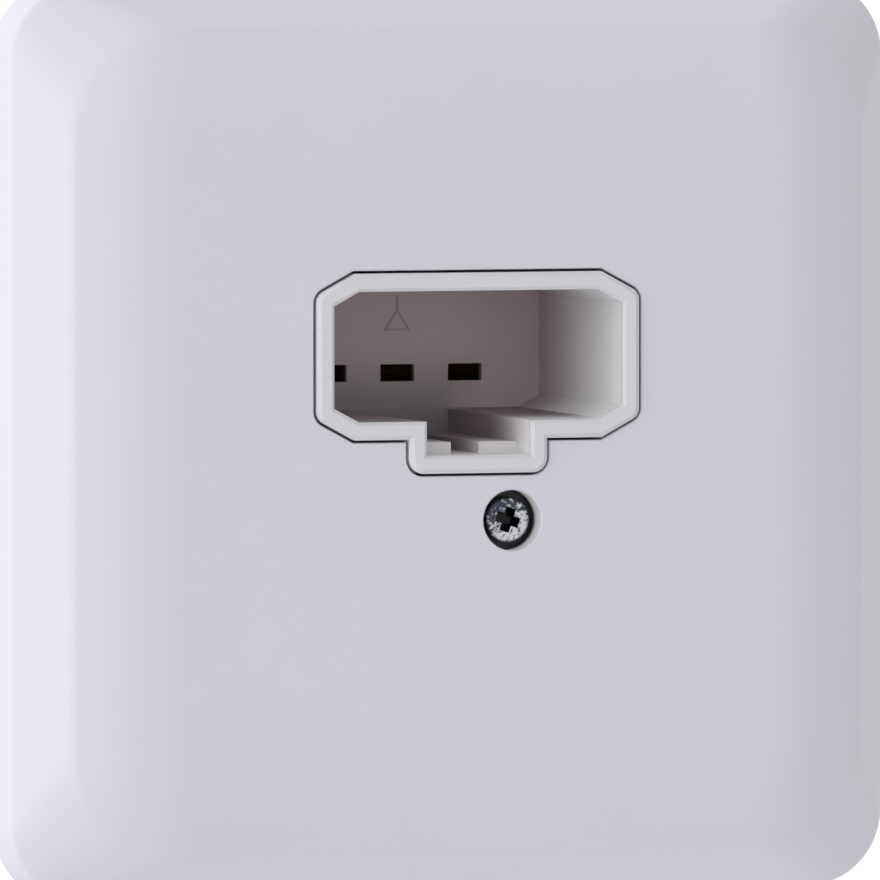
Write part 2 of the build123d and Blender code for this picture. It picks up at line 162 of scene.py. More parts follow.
# Shader groups: the kind of a socket by the number of values in it, and what a finish's skin has.
SOCKET_KINDS = {1: "NodeSocketFloat", 3: "NodeSocketVector", 4: "NodeSocketColor"}
SKIN_INPUTS = {"Vector": (0.0, 0.0, 0.0), "Color": WHITE, "Roughness": 0.0}
SKIN_OUTPUTS = ["Color", "Roughness", "Height"]


def length(label, text, millimetres):
    return bpy.props.FloatProperty(
        name=label, description=text, default=millimetres * MM, unit="LENGTH", precision=5
    )


def angle(label, text, degrees):
    return bpy.props.FloatProperty(
        name=label, description=text, default=math.radians(degrees), unit="ROTATION"
    )


def share(label, text, value):
    return bpy.props.FloatProperty(name=label, description=text, default=value, subtype="FACTOR")


def level(label, text, value):
    return bpy.props.FloatProperty(name=label, description=text, default=value)


def colour(label, text, value):
    return bpy.props.FloatVectorProperty(
        name=label, description=text, default=value, size=3, min=0.0, max=1.0, subtype="COLOR"
    )


def position(label, text, metres):
    return bpy.props.FloatVectorProperty(
        name=label, description=text, default=metres, size=3, subtype="TRANSLATION", unit="LENGTH"
    )


class OutletFinishes(bpy.types.PropertyGroup):
    """Colours of the outlet's plastics and metals."""

    cover: colour("Cover", "Cool white of the cover plate", (0.635, 0.62, 0.68))
    housing: colour("Housing", "White of the socket housing", (0.633, 0.627, 0.663))
    # Inside: painted light on the walls just inside the pocket's and the screw well's mouths.
    inside: colour("Inside", "Cleaner white just inside the plug pocket", (0.83, 0.82, 0.83))
    # Painted shade deep in the plug pocket, warm in tone.
    pocket: colour("Pocket", "Duller white deep inside the plug pocket", (0.585, 0.497, 0.507))
    # Painted shade on the left of the pocket's floor, under its left wall.
    corner: colour("Corner", "Dust low on the left of the pocket's floor", (0.35, 0.3, 0.305))
    # Painted shade on the pocket's bottom wall and ledge, where less light falls from above.
    foot: colour("Pocket foot", "Dust in the foot of the plug pocket", (0.30, 0.25, 0.255))
    # Painted shade in the cover screw's well.
    well: colour("Screw well", "Grime in the cover screw's well", (0.045, 0.045, 0.052))
    # Painted shade in blade slots and screw recesses.
    shade: colour("Shade", "Grime in blade slots and screw recesses", (0.02, 0.018, 0.02))
    rear: colour("Rear cover", "Grey of the rear cover", (0.36, 0.37, 0.40))
    zinc: colour("Zinc", "Zinc plate on strap and screws", (0.60, 0.61, 0.63))
    bright: colour("Bright steel", "Nickel plate on the cover screw", (0.56, 0.57, 0.61))
    # Tarnished patches, and painted dark reflection on one side of the cover screw.
    tarnish_and_dark_reflection: colour("Tarnish and dark reflection", "Dark patches on the cover screw", (0.05, 0.055, 0.072))
    spring: colour("Spring steel", "Bare spring steel of the clamps", (0.45, 0.46, 0.48))
    bronze: colour("Bronze", "Rolled bronze of the forks", (0.62, 0.40, 0.20))
    copper: colour("Copper", "Rolled copper of bars and rivets", (0.68, 0.33, 0.20))


class OutletSizes(bpy.types.PropertyGroup):
    """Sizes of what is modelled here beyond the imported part."""

    merge: length("Merge distance", "Corners nearer than this are joined in a copied node", 0.001)
    soft_angle: angle("Soft angle", "Light runs on over edges flatter than this", 32.0)
    cover_dome: share("Cover screw dome", "Rounded share of the cover screw's head height", 0.13)
    body_dome: share("Body screw dome", "Rounded share of the other screws' head height", 0.4)
    recess_reach: share("Recess reach", "Length of the cross recess against the head's width", 0.72)
    recess_width: share("Recess width", "Width of one recess arm against the head's width", 0.3)
    recess_depth: share("Recess depth", "Depth of the recess against the head's height", 0.75)
    cover_turn: angle("Cover screw turn", "How far the cover screw's recess is turned", 18.0)
    cover_pitch: length("Cover screw pitch", "Thread pitch of the cover screw", 0.45)
    body_pitch: length("Body screw pitch", "Thread pitch of the plastic-forming screws", 1.0)
    sign_rise: length("Sign height", "How far the lamp sign stands off the pocket floor", 0.12)
    sign_line: length("Sign line", "Width of the sign's lines", 0.16)
    sign_cord: length("Sign cord", "Length of the cord in the sign", 1.3)
    sign_shade: length("Sign shade", "Width of the shade in the sign", 2.6)
    sign_drop: length("Sign drop", "Height of the shade in the sign", 2.05)
    sign_place: length("Sign place", "Height of the shade's foot over the middle slot", 3.93)


class OutletStage(bpy.types.PropertyGroup):
    """Camera, light and floor."""

    azimuth: angle("Azimuth", "Camera's turn to the right of straight in front", -17.75)
    elevation: angle("Elevation", "Camera's height over level", 2.6)
    distance: length("Distance", "Camera to the aim point", 1800.0)
    lens: level("Lens", "Focal length in millimetres on a 36 mm frame", 795.6)
    aim_right: length("Aim right", "Aim point to the right of the box screws' middle", 0.594)
    aim_up: length("Aim up", "Aim point above the box screws' middle", -0.436)
    ambient: level("Ambient", "Light from all round", 0.97)
    lean: share("Lean", "How much more of it comes from the left than from the right", 0.6)
    back: share("Back", "How much more of it comes from behind than from in front", 0.18)
    softbox: length("Softbox", "Edge of each softbox", 900.0)
    key_power: level("Key power", "Watts of the softbox at the left", 4.5)
    key_place: position("Key place", "Middle of the softbox at the left", (-1.19, -0.53, -0.05))
    rim_power: level("Rim power", "Watts of the softbox behind the object, at its left", 2.0)
    rim_place: position("Rim place", "Middle of the softbox behind the object", (-1.13, 0.65, 0.0))
    floor: colour("Floor", "Pale floor", (0.86, 0.86, 0.87))
    floor_glow: share("Floor glow", "What lifts the lit floor to white for the camera", 0.19)
    floor_size: length("Floor size", "Edge of the floor", 6000.0)
    floor_drop: length("Floor drop", "Floor below the plate's lower edge", 90.0)


PROPERTY_GROUPS = {
    "outlet_finishes": OutletFinishes,
    "outlet_sizes": OutletSizes,
    "outlet_stage": OutletStage,
}


def clear_selection():
    if bpy.context.object and bpy.context.object.mode != "OBJECT":
        bpy.ops.object.mode_set(mode="OBJECT")
    bpy.ops.object.select_all(action="DESELECT")


def choose(*pieces):
    """Selects these objects alone, the first one active."""
    clear_selection()
    for piece in pieces:
        piece.select_set(True)
    bpy.context.view_layer.objects.active = pieces[0]


def edit(piece, mode="FACE"):
    choose(piece)
    bpy.ops.object.mode_set(mode="EDIT")
    bpy.ops.mesh.select_mode(type=mode)
    bpy.ops.mesh.select_all(action="DESELECT")


def pick_faces(piece, test):
    """Selects the faces of a piece in edit mode whose middle and normal pass a test."""
    bpy.ops.mesh.select_all(action="DESELECT")
    bpy.ops.object.mode_set(mode="OBJECT")
    for face in piece.data.polygons:
        face.select = test(face.center, face.normal)
    bpy.ops.object.mode_set(mode="EDIT")


def settle(piece):
    """Moves an object's place and turn into its mesh."""
    choose(piece)
    bpy.ops.object.transform_apply(location=True, rotation=True, scale=True)


def apply_modifiers(piece):
    choose(piece)
    for name in [modifier.name for modifier in piece.modifiers]:
        bpy.ops.object.modifier_apply(modifier=name)


def tidy_mesh(piece, merge=WELD):
    """Joins the corners of a mesh that lie together and turns its faces outwards."""
    edit(piece, "VERT")
    bpy.ops.mesh.select_all(action="SELECT")
    bpy.ops.mesh.remove_doubles(threshold=merge)
    bpy.ops.mesh.normals_make_consistent(inside=False)
    bpy.ops.object.mode_set(mode="OBJECT")


def finish_piece(piece, material, slot, *nodes):
    """Gives a piece its finish and body, and lets it stand for CAD nodes."""
    piece.data.materials.clear()
    piece.data.materials.append(material)
    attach(piece, "root")
    if nodes:
        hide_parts(*nodes)


def dress(nodes, material):
    """Puts a finish on CAD nodes that are shown as they are."""
    for node in nodes:
        NODES[node].data.materials.clear()
        NODES[node].data.materials.append(material)


def smooth_copy(node, name):
    """A copy of a CAD node with its triangles joined, so that light runs on over its soft edges."""
    sizes = bpy.context.scene.outlet_sizes
    piece = bpy.data.objects.new(name, NODES[node].data.copy())
    bpy.context.scene.collection.objects.link(piece)
    choose(piece)
    bpy.ops.mesh.customdata_custom_splitnormals_clear()
    tidy_mesh(piece, sizes.merge)
    choose(piece)
    bpy.ops.object.shade_smooth_by_angle(angle=sizes.soft_angle)
    weighted = piece.modifiers.new("Even light", "WEIGHTED_NORMAL")
    weighted.keep_sharp = True
    apply_modifiers(piece)
    return piece


def feed(tree, socket, value):
    """Links a socket to another one, or sets it to a plain value."""
    if isinstance(value, bpy.types.NodeSocket):
        tree.links.new(value, socket)
    else:
        socket.default_value = value


def new_group(name, inputs, outputs):
    """An empty shader node group; its inputs are given as labels and defaults."""
    group = bpy.data.node_groups.new(name, "ShaderNodeTree")
    for label, default in inputs.items():
        kind = SOCKET_KINDS[len(default) if isinstance(default, tuple) else 1]
        socket = group.interface.new_socket(label, in_out="INPUT", socket_type=kind)
        socket.default_value = default
    for label in outputs:
        kind = SOCKET_KINDS[4 if label == "Color" else 1]
        group.interface.new_socket(label, in_out="OUTPUT", socket_type=kind)
    return group, group.nodes.new("NodeGroupInput"), group.nodes.new("NodeGroupOutput")


def noise(tree, vector, scale, detail):
    node = tree.nodes.new("ShaderNodeTexNoise")
    node.inputs["Scale"].default_value = scale
    node.inputs["Detail"].default_value = detail
    tree.links.new(vector, node.inputs["Vector"])
    return node.outputs["Fac"]


def spread(tree, value, low, high):
    """Maps a value from 0 to 1 onto a narrower range."""
    node = tree.nodes.new("ShaderNodeMapRange")
    tree.links.new(value, node.inputs["Value"])
    node.inputs["To Min"].default_value = low
    node.inputs["To Max"].default_value = high
    return node.outputs["Result"]


def rise(tree, value, low, high):
    """Goes softly from 0 to 1 while a value goes from low to high."""
    node = tree.nodes.new("ShaderNodeMapRange")
    node.interpolation_type = "SMOOTHSTEP"
    tree.links.new(value, node.inputs["Value"])
    feed(tree, node.inputs["From Min"], low)
    feed(tree, node.inputs["From Max"], high)
    return node.outputs["Result"]


def calculate(tree, operation, first, second):
    node = tree.nodes.new("ShaderNodeMath")
    node.operation = operation
    for socket, value in zip(node.inputs, (first, second)):
        feed(tree, socket, value)
    return node.outputs["Value"]


def combine(tree, operation, *vectors):
    node = tree.nodes.new("ShaderNodeVectorMath")
    node.operation = operation
    for socket, vector in zip(node.inputs, vectors):
        tree.links.new(vector, socket)
    return node.outputs["Value" if operation == "DOT_PRODUCT" else "Vector"]


def split_axes(tree, vector):
    """The X, Y and Z of a vector."""
    node = tree.nodes.new("ShaderNodeSeparateXYZ")
    tree.links.new(vector, node.inputs["Vector"])
    return node.outputs


def shade_colour(tree, tint, factor):
    """A colour made darker or lighter by a factor."""
    node = tree.nodes.new("ShaderNodeVectorMath")
    node.operation = "SCALE"
    tree.links.new(tint, node.inputs[0])
    tree.links.new(factor, node.inputs["Scale"])
    return node.outputs["Vector"]


def blend_colours(tree, amount, first, second):
    """The first colour where the amount is 0, the second where it is 1."""
    node = tree.nodes.new("ShaderNodeMix")
    node.data_type = "RGBA"
    tree.links.new(amount, node.inputs["Factor"])
    feed(tree, node.inputs["A"], first)
    feed(tree, node.inputs["B"], second)
    return node.outputs["Result"]


def moulded_group():
    """Moulded plastic: faint cloudiness, slightly uneven gloss and the fine skin of the tool."""
    group, source, target = new_group("Moulded plastic", SKIN_INPUTS, SKIN_OUTPUTS)
    spot = source.outputs["Vector"]
    cloud = spread(group, noise(group, spot, scale=60.0, detail=3.0), low=0.985, high=1.015)
    uneven = spread(group, noise(group, spot, scale=900.0, detail=2.0), low=-0.03, high=0.03)
    tint = shade_colour(group, source.outputs["Color"], cloud)
    roughness = calculate(group, "ADD", source.outputs["Roughness"], uneven)
    group.links.new(tint, target.inputs["Color"])
    group.links.new(roughness, target.inputs["Roughness"])
    group.links.new(noise(group, spot, scale=5200.0, detail=3.0), target.inputs["Height"])
    return group


def rolled_group():
    """Rolled and plated metal: fine streaks along X, and patches that are duller."""
    group, source, target = new_group("Rolled metal", SKIN_INPUTS, SKIN_OUTPUTS)
    spot = source.outputs["Vector"]
    stretch = group.nodes.new("ShaderNodeMapping")
    stretch.inputs["Scale"].default_value = (0.06, 1.0, 1.0)
    group.links.new(spot, stretch.inputs["Vector"])
    streaks = noise(group, stretch.outputs["Vector"], scale=4200.0, detail=4.0)
    patches = noise(group, spot, scale=140.0, detail=4.0)
    tone = spread(group, calculate(group, "MULTIPLY", streaks, patches), low=0.86, high=1.22)
    dull = spread(group, patches, low=-0.08, high=0.10)
    tint = shade_colour(group, source.outputs["Color"], tone)
    roughness = calculate(group, "ADD", source.outputs["Roughness"], dull)
    group.links.new(tint, target.inputs["Color"])
    group.links.new(roughness, target.inputs["Roughness"])
    group.links.new(streaks, target.inputs["Height"])
    return group


def painted_depth_shading_group():
    """Painted light or shade that grows with depth along Y, inside a box round a middle, fading out
    towards its sides.
    """
    inputs = {
        "Vector": (0.0, 0.0, 0.0),
        "Color": WHITE,
        "Deep": WHITE,
        "Start": 0.0,
        "End": 0.0,
        "Middle": (0.0, 0.0, 0.0),
        "Reach": (0.0, 0.0, 0.0),
        "Fade": 0.0,
    }
    group, source, target = new_group("Painted depth shading", inputs, ["Color"])
    spot = source.outputs["Vector"]
    depth = split_axes(group, spot)["Y"]
    deep = rise(group, depth, source.outputs["Start"], source.outputs["End"])
    offset = combine(group, "SUBTRACT", spot, source.outputs["Middle"])
    distance = combine(group, "ABSOLUTE", offset)
    inside = split_axes(group, combine(group, "SUBTRACT", source.outputs["Reach"], distance))
    nearest = calculate(group, "MINIMUM", inside["X"], inside["Z"])
    border = rise(group, nearest, 0.0, source.outputs["Fade"])
    amount = calculate(group, "MULTIPLY", deep, border)
    tint = blend_colours(group, amount, source.outputs["Color"], source.outputs["Deep"])
    group.links.new(tint, target.inputs["Color"])
    return group


def tarnish_and_reflection_group():
    """Tarnished patches and a painted dark reflection, which thin out along a direction, read from
    a middle.
    """
    inputs = {
        "Vector": (0.0, 0.0, 0.0),
        "Color": WHITE,
        "Tarnish and dark reflection": WHITE,
        "Middle": (0.0, 0.0, 0.0),
        "Direction": (0.0, 0.0, 0.0),
    }
    group, source, target = new_group("Tarnish and dark reflection", inputs, ["Color"])
    spot = source.outputs["Vector"]
    offset = combine(group, "SUBTRACT", spot, source.outputs["Middle"])
    slope = combine(group, "DOT_PRODUCT", offset, source.outputs["Direction"])
    patchy = calculate(group, "ADD", slope, noise(group, spot, scale=2600.0, detail=7.0))
    bright_side = rise(group, patchy, low=0.4, high=0.62)
    tint = blend_colours(group, bright_side, source.outputs["Tarnish and dark reflection"], source.outputs["Color"])
    group.links.new(tint, target.inputs["Color"])
    return group


def group_named(name, build):
    return bpy.data.node_groups.get(name) or build()


def finish(name, group, tint, roughness, metallic, bump):
    """A material whose colour, roughness and relief come from one of the shared groups."""
    material = bpy.data.materials.new(name)
    material.use_nodes = True
    tree = material.node_tree
    shader = tree.nodes["Principled BSDF"]
    spot = tree.nodes.new("ShaderNodeTexCoord")
    skin = tree.nodes.new("ShaderNodeGroup")
    skin.name = "Skin"
    skin.node_tree = group
    skin.inputs["Color"].default_value = (*tint, 1.0)
    skin.inputs["Roughness"].default_value = roughness
    tree.links.new(spot.outputs["Object"], skin.inputs["Vector"])
    relief = tree.nodes.new("ShaderNodeBump")
    relief.inputs["Strength"].default_value = bump
    relief.inputs["Distance"].default_value = RELIEF
    tree.links.new(skin.outputs["Height"], relief.inputs["Height"])
    tree.links.new(skin.outputs["Color"], shader.inputs["Base Color"])
    tree.links.new(skin.outputs["Roughness"], shader.inputs["Roughness"])
    tree.links.new(relief.outputs["Normal"], shader.inputs["Normal"])
    shader.inputs["Metallic"].default_value = metallic
    return material


def plastic(name, tint, roughness):
    group = group_named("Moulded plastic", moulded_group)
    return finish(name, group, tint, roughness, metallic=0.0, bump=0.12)


def metal(name, tint, roughness):
    group = group_named("Rolled metal", rolled_group)
    return finish(name, group, tint, roughness, metallic=1.0, bump=0.15)


def skin_colour(material):
    """What colours a finish so far: the socket that feeds its skin, or the plain colour there."""
    socket = material.node_tree.nodes["Skin"].inputs["Color"]
    return socket.links[0].from_socket if socket.is_linked else socket.default_value


def layer_tarnish_or_painted_shading(material, group, values):
    """Puts a group for tarnished patches or painted light and shade, with its own values, between a
    finish's colour and its skin.
    """
    tree = material.node_tree
    node = tree.nodes.new("ShaderNodeGroup")
    node.node_tree = group
    for label, value in values.items():
        node.inputs[label].default_value = value
    feed(tree, node.inputs["Color"], skin_colour(material))
    tree.links.new(tree.nodes["Texture Coordinate"].outputs["Object"], node.inputs["Vector"])
    tree.links.new(node.outputs["Color"], tree.nodes["Skin"].inputs["Color"])


def paint_shading_by_depth(material, front, steps):
    """Paints light and shade into a finish behind a front, step by step, by depth."""
    finishes = bpy.context.scene.outlet_finishes
    for tint, start, end, (middle, reach, fade) in steps:
        values = {
            "Deep": (*getattr(finishes, tint), 1.0),
            "Start": front + start,
            "End": front + end,
            "Middle": middle,
            "Reach": reach,
            "Fade": fade,
        }
        layer_tarnish_or_painted_shading(material, group_named("Painted depth shading", painted_depth_shading_group), values)


def tarnish_and_dark_reflection(material, dark_tint, middle, direction):
    """Lets a metal show tarnished patches and a painted dark reflection on one side."""
    values = {"Tarnish and dark reflection": (*dark_tint, 1.0), "Middle": middle, "Direction": direction}
    layer_tarnish_or_painted_shading(material, group_named("Tarnish and dark reflection", tarnish_and_reflection_group), values)


def paint_recess_shade(material, dark_tint):
    """Paints shade into a metal where a screw's cross recess was marked."""
    tree = material.node_tree
    mark = tree.nodes.new("ShaderNodeAttribute")
    mark.attribute_name = "recess"
    dark = (*dark_tint, 1.0)
    tint = blend_colours(tree, mark.outputs["Fac"], skin_colour(material), dark)
    tree.links.new(tint, tree.nodes["Skin"].inputs["Color"])


class OUTLET_OT_cover_plate(bpy.types.Operator):
    """Cover plate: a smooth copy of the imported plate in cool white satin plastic"""

    bl_idname = "outlet.cover_plate"
    bl_label = "Cover plate"

    def execute(self, context):
        finishes = context.scene.outlet_finishes
        plate = smooth_copy("cover_plate", "cover_plate_skin")
        white = plastic("Cover white", finishes.cover, ROUGHNESS["cover"])
        # Painted light just inside the screw well, and painted shade deeper in it.
        paint_shading_by_depth(white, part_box("cover_plate")[0][1], WELL_PAINTED_LIGHT_AND_SHADE)
        finish_piece(plate, white, "cover_plastic", "cover_plate")
        return {"FINISHED"}


class OUTLET_OT_socket_housing(bpy.types.Operator):
    """Socket housing and rear cover: smooth copies in white and grey plastic"""

    bl_idname = "outlet.socket_housing"
    bl_label = "Socket housing"

    def execute(self, context):
        finishes = context.scene.outlet_finishes
        white = plastic("Housing white", finishes.housing, ROUGHNESS["housing"])
        # Painted light inside the pocket's mouth; painted shade deep in it, low on its left, on its
        # bottom wall and ledge, and in the blade slots.
        paint_shading_by_depth(white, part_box("socket_housing")[0][1], POCKET_PAINTED_LIGHT_AND_SHADE)
        housing = smooth_copy("socket_housing", "socket_housing_skin")
        finish_piece(housing, white, "housing_plastic", "socket_housing")
        grey = plastic("Rear grey", finishes.rear, ROUGHNESS["rear"])
        rear = smooth_copy("rear_cover", "rear_cover_skin")
        finish_piece(rear, grey, "rear_plastic", "rear_cover")
        return {"FINISHED"}


class OUTLET_OT_metal_parts(bpy.types.Operator):
    """Strap, bars, forks, rivets and clamps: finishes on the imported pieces"""

    bl_idname = "outlet.metal_parts"
    bl_label = "Metal parts"

    def execute(self, context):
        finishes = context.scene.outlet_finishes
        fine = ROUGHNESS["contacts"]
        dress(["mounting_strap"], metal("Strap zinc", finishes.zinc, ROUGHNESS["strap"]))
        dress([pole + "_fork" for pole in POLES], metal("Fork bronze", finishes.bronze, fine))
        bars = [pole + "_bar" for pole in POLES]
        dress(bars + ["contact_rivets"], metal("Bar copper", finishes.copper, fine))
        clamps = [pole + "_clamp_" + side for pole in POLES for side in SIDES]
        dress(clamps, metal("Clamp steel", finishes.spring, fine))
        return {"FINISHED"}


def screw_head(radius, height, dome):
    """A low domed head along Y, seated at Y = 0."""
    bpy.ops.mesh.primitive_cylinder_add(
        vertices=64,
        radius=radius,
        depth=height,
        location=(0, -height / 2, 0),
        rotation=(math.pi / 2, 0, 0),
    )
    head = bpy.context.object
    settle(head)
    edit(head)
    pick_faces(head, lambda middle, normal: normal.y < -ALONG)
    bpy.ops.mesh.bevel(offset=height * dome, segments=8, affect="EDGES", clamp_overlap=True)
    bpy.ops.object.mode_set(mode="OBJECT")
    return head


def cross_cutter(reach, width, depth, front):
    """A tapered cross, to be cut out of a head along Y."""
    bpy.ops.mesh.primitive_cube_add(size=1, location=(0, 0, 0))
    cross = bpy.context.object
    cross.scale = (width, 2 * depth, width)
    settle(cross)
    edit(cross)
    pick_faces(cross, lambda middle, normal: abs(normal.y) < ACROSS)
    bpy.ops.mesh.extrude_faces_move(TRANSFORM_OT_shrink_fatten={"value": (reach - width) / 2})
    pick_faces(cross, lambda middle, normal: normal.y > ALONG)
    bpy.ops.transform.resize(value=(RECESS_TAPER, 1, RECESS_TAPER))
    bpy.ops.object.mode_set(mode="OBJECT")
    tidy_mesh(cross)
    cross.location.y = front
    settle(cross)
    return cross


def mark_recess(head, reach, front, depth):
    """Marks the faces of a head's cross recess for painted shade, its floor more than its walls."""
    mark = head.data.attributes.new("recess", "FLOAT", "FACE")
    for face, entry in zip(head.data.polygons, mark.data):
        inside = math.hypot(face.center.x, face.center.z) < reach / 2
        deep = (face.center.y - front) / depth
        if inside and RECESS_MOUTH < deep < RECESS_END:
            entry.value = RECESS_FLOOR_SHADE if deep > RECESS_FLOOR else RECESS_WALL_SHADE


def cut(piece, cutter):
    modifier = piece.modifiers.new("Cut", "BOOLEAN")
    modifier.operation = "DIFFERENCE"
    modifier.solver = "EXACT"
    modifier.object = cutter
    apply_modifiers(piece)
    bpy.data.objects.remove(cutter)


def thread(radius, core, pitch, start, end):
    """A helical ridge of triangular section round a shank along Y."""
    size = (radius - core) / TRIANGLE_HEIGHT
    bpy.ops.mesh.primitive_circle_add(vertices=3, radius=size, fill_type="NOTHING")
    ridge = bpy.context.object
    ridge.scale = (1.0, THREAD_WIDTH_OF_PITCH * pitch / size, 1.0)
    ridge.rotation_euler.z = -math.pi / 2
    settle(ridge)
    ridge.location = (core + size / 2, start, 0)
    settle(ridge)
    turns = max(1, int((end - start) / pitch))
    helix = ridge.modifiers.new("Helix", "SCREW")
    helix.axis = "Y"
    helix.angle = 2 * math.pi * turns
    helix.screw_offset = pitch * turns
    helix.steps = TURN_STEPS * turns
    helix.render_steps = TURN_STEPS * turns
    helix.use_merge_vertices = True
    apply_modifiers(ridge)
    edit(ridge, "EDGE")
    bpy.ops.mesh.select_all(action="SELECT")
    bpy.ops.mesh.fill_holes(sides=3)
    bpy.ops.object.mode_set(mode="OBJECT")
    tidy_mesh(ridge)
    return ridge


def screw_shank(core, start, end):
    """The core of a shank along Y, its tip drawn in."""
    bpy.ops.mesh.primitive_cylinder_add(
        vertices=40,
        radius=core,
        depth=end - start,
        location=(0, (start + end) / 2, 0),
        rotation=(math.pi / 2, 0, 0),
    )
    shank = bpy.context.object
    settle(shank)
    edit(shank)
    pick_faces(shank, lambda middle, normal: normal.y > ALONG)
    bpy.ops.mesh.bevel(offset=core * TIP_OF_CORE, segments=2, affect="EDGES")
    bpy.ops.object.mode_set(mode="OBJECT")
    return shank


def detailed_screw(name, head_radius, head_height, dome, radius, reach, pitch):
    """A cross-recessed screw along Y, seated at Y = 0 with its head to the front."""
    sizes = bpy.context.scene.outlet_sizes
    core = radius - THREAD_DEPTH_OF_PITCH * pitch
    head = screw_head(head_radius, head_height, dome)
    across = 2 * head_radius * sizes.recess_reach
    arm = 2 * head_radius * sizes.recess_width
    deep = head_height * sizes.recess_depth
    cut(head, cross_cutter(across, arm, deep, -head_height))
    mark_recess(head, across, -head_height, deep)
    shank = screw_shank(core, -head_height * SHANK_IN_HEAD, reach)
    ridge = thread(radius, core, pitch, pitch, reach - pitch)
    choose(head, shank, ridge)
    bpy.ops.object.join()
    head.name = name
    choose(head)
    bpy.ops.object.shade_smooth_by_angle(angle=sizes.soft_angle)
    return head


def placed_copy(piece, name, spot, turn):
    """A copy of a screw with its own mesh, put at a place and turned about Z."""
    twin = bpy.data.objects.new(name, piece.data.copy())
    bpy.context.scene.collection.objects.link(twin)
    twin.matrix_world = Matrix.Translation(spot) @ Matrix.Rotation(turn, 4, "Z")
    settle(twin)
    return twin


def solid_boxes(node):
    """Boxes of the separate solids in a CAD node, read from a scratch copy and sorted by place."""
    scratch = bpy.data.objects.new("scratch", NODES[node].data.copy())
    bpy.context.scene.collection.objects.link(scratch)
    tidy_mesh(scratch, bpy.context.scene.outlet_sizes.merge)
    choose(scratch)
    bpy.ops.mesh.separate(type="LOOSE")
    boxes = []
    for solid in list(bpy.context.selected_objects):
        corners = [vertex.co for vertex in solid.data.vertices]
        low = Vector(min(corner[axis] for corner in corners) for axis in range(3))
        high = Vector(max(corner[axis] for corner in corners) for axis in range(3))
        boxes.append((low, high))
        bpy.data.objects.remove(solid)
    return sorted(boxes, key=lambda box: (round(box[0].x, 4), round(box[0].z, 4)))


class OUTLET_OT_cover_screw(bpy.types.Operator):
    """Cover screw: domed head with a cross recess, and a metric thread"""

    bl_idname = "outlet.cover_screw"
    bl_label = "Cover screw"

    def execute(self, context):
        sizes = context.scene.outlet_sizes
        finishes = context.scene.outlet_finishes
        low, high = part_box("cover_screw")
        middle = node_middle("cover_screw")
        screw = detailed_screw(
            "cover_screw_detail",
            head_radius=(high[0] - low[0]) / 2,
            head_height=COVER_HEAD_HEIGHT,
            dome=sizes.cover_dome,
            radius=COVER_SCREW_RADIUS,
            reach=high[1] - low[1] - COVER_HEAD_HEIGHT,
            pitch=sizes.cover_pitch,
        )
        screw.location = (middle.x, low[1] + COVER_HEAD_HEIGHT, middle.z)
        screw.rotation_euler.y = sizes.cover_turn
        settle(screw)
        bright = metal("Screw bright", finishes.bright, ROUGHNESS["cover_screw"])
        # Tarnished patches, and painted dark reflection towards the upper left of the head.
        tarnish_and_dark_reflection(bright, finishes.tarnish_and_dark_reflection, middle, REFLECTION_AND_TARNISH_DIRECTION)
        # Painted shade in the cross recess.
        paint_recess_shade(bright, finishes.shade)
        finish_piece(screw, bright, "screw_steel", "cover_screw")
        return {"FINISHED"}


class OUTLET_OT_body_screws(bpy.types.Operator):
    """Strap screws and rear cover screws: one plastic-forming screw, copied to each place"""

    bl_idname = "outlet.body_screws"
    bl_label = "Body screws"

    def execute(self, context):
        sizes = context.scene.outlet_sizes
        finishes = context.scene.outlet_finishes
        zinc = metal("Screw zinc", finishes.zinc, ROUGHNESS["body_screws"])
        # Painted shade in the cross recesses.
        paint_recess_shade(zinc, finishes.shade)
        screw = detailed_screw(
            "body_screw",
            head_radius=BODY_HEAD_RADIUS,
            head_height=BODY_HEAD_HEIGHT,
            dome=sizes.body_dome,
            radius=BODY_SCREW_RADIUS,
            reach=BODY_SCREW_LENGTH,
            pitch=sizes.body_pitch,
        )
        for node, to_front in {"strap_screws": True, "rear_cover_screws": False}.items():
            copies = []
            for low, high in solid_boxes(node):
                seat = (low + high) / 2
                seat.y = low.y + BODY_HEAD_HEIGHT if to_front else high.y - BODY_HEAD_HEIGHT
                turn = 0.0 if to_front else math.pi
                copies.append(placed_copy(screw, node + "_detail", seat, turn))
            choose(*copies)
            bpy.ops.object.join()
            finish_piece(copies[0], zinc, "screw_steel", node)
        bpy.data.objects.remove(screw)
        return {"FINISHED"}


def sign_frame(sizes, foot, middle, floor):
    """The shade of the lamp sign: a triangle's outline raised off the pocket floor."""
    bpy.ops.mesh.primitive_circle_add(vertices=3, radius=1, fill_type="NGON")
    shade = bpy.context.object
    shade.rotation_euler.x = math.pi / 2
    settle(shade)
    shade.scale = (sizes.sign_shade / TRIANGLE_WIDTH, 1, sizes.sign_drop / TRIANGLE_HEIGHT)
    shade.location = (middle, floor, foot + sizes.sign_drop / 3)
    settle(shade)
    edit(shade)
    bpy.ops.mesh.select_all(action="SELECT")
    bpy.ops.mesh.inset(thickness=sizes.sign_line)
    bpy.ops.mesh.delete(type="FACE")
    bpy.ops.mesh.select_all(action="SELECT")
    bpy.ops.mesh.extrude_region_move(TRANSFORM_OT_translate={"value": (0, -sizes.sign_rise, 0)})
    bpy.ops.object.mode_set(mode="OBJECT")
    tidy_mesh(shade)
    return shade


